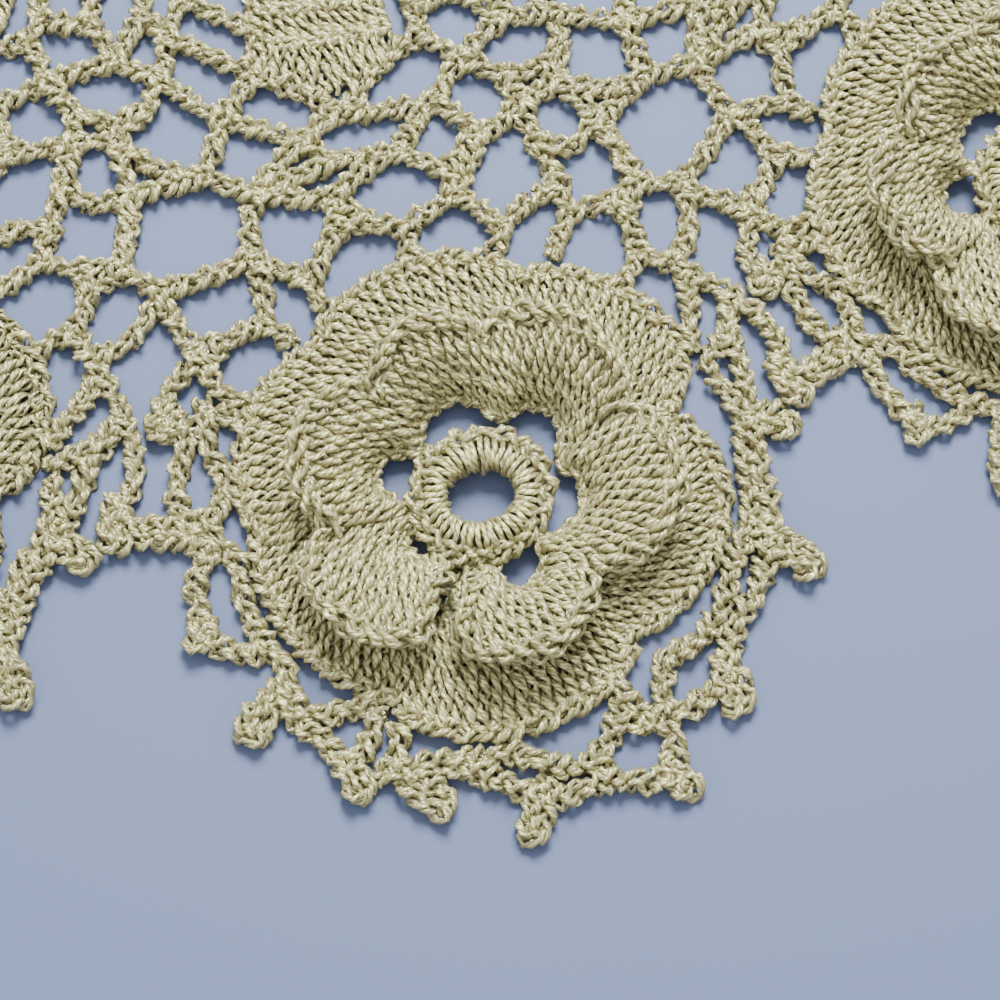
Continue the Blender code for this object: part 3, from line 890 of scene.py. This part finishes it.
class DoilyThread(PropertyGroup):
    """The thread and how it was worked."""
    diameter: FloatProperty(
        name="Thread diameter", description="Thickness of the cotton thread", default=0.00047,
        **LENGTH)
    plies: IntProperty(name="Plies", description="Yarns twisted into the thread", default=2)
    ply_turn: FloatProperty(
        name="Ply turn", description="Length in which a ply winds once round", default=0.0014,
        **LENGTH)
    fibre_length: FloatProperty(
        name="Fibre length", description="Length of the fibres' streaks", default=0.0022, **LENGTH)
    ply_depth: FloatProperty(
        name="Ply depth", description="Depth of the grooves between plies", default=0.00008,
        **LENGTH)
    colour: FloatVectorProperty(
        name="Colour", description="Colour of the thread", default=(0.218, 0.193, 0.073), **COLOUR)
    # The crown colour is a painted highlight: the tops of strands and plies are lightened towards
    # it.
    painted_highlight_colour: FloatVectorProperty(
        name="Painted highlight colour", description="Painted highlight on the tops", default=(1.0, 0.955, 0.42),
        **COLOUR)
    groove_colour: FloatVectorProperty(
        name="Groove colour", description="Colour deep between the plies",
        default=(0.235, 0.208, 0.092), **COLOUR)
    roughness: FloatProperty(
        name="Roughness", description="Dullness of the mercerised cotton", default=0.24, **SHARE)
    gloss: FloatProperty(
        name="Gloss", description="Strength of the thread's highlights", default=0.95, **SHARE)
    sheen: FloatProperty(
        name="Sheen", description="Soft bloom of loose fibres", default=0.05, **SHARE)
    wobble: FloatProperty(
        name="Wobble", description="How far hand work strays sideways", default=0.0002, **LENGTH)
    unevenness: FloatProperty(
        name="Unevenness", description="How much the tension varies", default=0.18, **SHARE)
    seed: IntProperty(name="Seed", description="Picks another hand", default=3)


class DoilyDetail(PropertyGroup):
    """How round the threads are."""
    near_sides: IntProperty(
        name="Near sides", description="Sides of a thread in the front", default=4)
    far_sides: IntProperty(name="Far sides", description="Sides of a thread elsewhere", default=3)


class DoilyStage(PropertyGroup):
    """The floor, the lights and the camera."""
    floor_colour: FloatVectorProperty(
        name="Floor colour", description="Pale cloth under it", default=(0.0735, 0.100, 0.183),
        **COLOUR)
    key_power: FloatProperty(
        name="Key light", description="Power of the large soft light", default=9.2, unit="POWER")
    fill_power: FloatProperty(
        name="Fill light", description="Power of the fill light", default=1.0, unit="POWER")
    distance: FloatProperty(
        name="Camera distance", description="From the camera to its aim", default=0.22, **LENGTH)
    tilt: FloatProperty(
        name="Camera tilt", description="Turn away from looking straight down",
        default=radians(18), **TURN)
    turn: FloatProperty(
        name="Camera turn", description="Turn round the upright axis", default=radians(FRONT_TURN),
        **TURN)
    width: FloatProperty(
        name="View width", description="Width of the view at the aim", default=0.07, **LENGTH)


class DOILY_OT_net(Operator):
    """Work the plain rounds, the charted ground with its shells, and the edging"""
    bl_idname = "doily.net"
    bl_label = "Work the Net"

    def execute(self, context):
        thread, detail = context.scene.doily_thread, context.scene.doily_detail
        rounds = Threads(ROUNDS_SEED)
        work_plain_rounds(rounds)
        work_piece("plain_rounds", rounds, thread, detail.far_sides, ["net"], "net_thread")
        for side, repeats in SIDES:
            sides = detail.near_sides if side == "front" else detail.far_sides
            ground, edging = Threads(GROUND_SEED), Threads(EDGING_SEED)
            for repeat in repeats:
                work_ground(ground, repeat)
                work_edging(edging, repeat)
            for name, threads in (("ground", ground), ("edging", edging)):
                work_piece(f"{name}_{side}", threads, thread, sides, ["net"], "net_thread")
        return {"FINISHED"}


class DOILY_OT_roses(Operator):
    """Work the twelve outer roses and the rose in the middle"""
    bl_idname = "doily.roses"
    bl_label = "Work the Roses"

    def execute(self, context):
        thread, detail = context.scene.doily_thread, context.scene.doily_detail
        for repeat in (None, *range(REPEATS)):
            node = "rose_centre" if repeat is None else f"rose_{repeat + 1:02d}"
            near = repeat in FRONT_ROSES
            rose = RoseThreads(CENTRE_ROSE_SEED if repeat is None else repeat, repeat)
            work_ring(rose)
            work_front_petals(rose)
            work_back_petals(rose)
            work_piece(node + "_worked", rose, thread,
                       detail.near_sides if near else detail.far_sides, [node], "rose_thread")
        return {"FINISHED"}


class DOILY_OT_stage(Operator):
    """Set the floor, the soft lights and the camera"""
    bl_idname = "doily.stage"
    bl_label = "Set the Stage"

    def execute(self, context):
        stage = context.scene.doily_stage
        mesh = bpy.data.meshes.new("floor")
        mesh.from_pydata([(x * FLOOR_HALF, y * FLOOR_HALF, 0)
                          for x, y in ((-1, -1), (1, -1), (1, 1), (-1, 1))], [], [(0, 1, 2, 3)])
        floor = bpy.data.objects.new("floor", mesh)
        context.collection.objects.link(floor)
        material = bpy.data.materials.new("floor")
        material.use_nodes = True
        shader = material.node_tree.nodes["Principled BSDF"]
        shader.inputs["Base Color"].default_value = (*stage.floor_colour, 1.0)
        shader.inputs["Roughness"].default_value = FLOOR_ROUGHNESS
        mesh.materials.append(material)
        for (name, place, size), power in zip(LAMPS, (stage.key_power, stage.fill_power)):
            light = bpy.data.lights.new(name, "AREA")
            light.size = size
            light.energy = power
            light.color = LIGHT_COLOUR
            lamp = bpy.data.objects.new(name, light)
            lamp.location = place
            aim = Vector(LAMP_AIM) - Vector(place)
            lamp.rotation_euler = aim.to_track_quat("-Z", "Y").to_euler()
            context.collection.objects.link(lamp)
        world = bpy.data.worlds.new("studio")
        world.use_nodes = True
        background = world.node_tree.nodes["Background"]
        background.inputs["Color"].default_value = SKY_COLOUR
        background.inputs["Strength"].default_value = SKY_STRENGTH
        context.scene.world = world
        camera = bpy.data.cameras.new("camera")
        camera.sensor_width = SENSOR_WIDTH
        camera.lens = SENSOR_WIDTH * stage.distance / stage.width
        camera.clip_start = 0.01
        eye = bpy.data.objects.new("camera", camera)
        eye.rotation_euler = (stage.tilt, 0.0, stage.turn)
        back = eye.rotation_euler.to_matrix() @ Vector((0, 0, 1))
        eye.location = Vector((*FRONT_MIDDLE, 0.0)) * MM + back * stage.distance
        context.collection.objects.link(eye)
        context.scene.camera = eye
        return {"FINISHED"}


class DOILY_PT_panel(Panel):
    """The doily's pieces and settings"""
    bl_idname = "DOILY_PT_panel"
    bl_label = "Lace Doily"
    bl_space_type = "VIEW_3D"
    bl_region_type = "UI"
    bl_category = "Doily"

    def draw(self, context):
        for operator in (DOILY_OT_net, DOILY_OT_roses, DOILY_OT_stage):
            self.layout.operator(operator.bl_idname)
        for group in (context.scene.doily_thread, context.scene.doily_detail,
                      context.scene.doily_stage):
            column = self.layout.column()
            for name in group.__annotations__:
                column.prop(group, name)


CLASSES = (DoilyThread, DoilyDetail, DoilyStage, DOILY_OT_net, DOILY_OT_roses, DOILY_OT_stage,
           DOILY_PT_panel)
GROUPS = (("doily_thread", DoilyThread), ("doily_detail", DoilyDetail),
          ("doily_stage", DoilyStage))


def register():
    for each in CLASSES:
        bpy.utils.register_class(each)
    for name, group in GROUPS:
        setattr(bpy.types.Scene, name, PointerProperty(type=group))


def unregister():
    for name, _ in GROUPS:
        delattr(bpy.types.Scene, name)
    for each in reversed(CLASSES):
        bpy.utils.unregister_class(each)


def main():
    register()
    bpy.ops.doily.net()
    bpy.ops.doily.roses()
    bpy.ops.doily.stage()


if __name__ == "__main__":
    main()
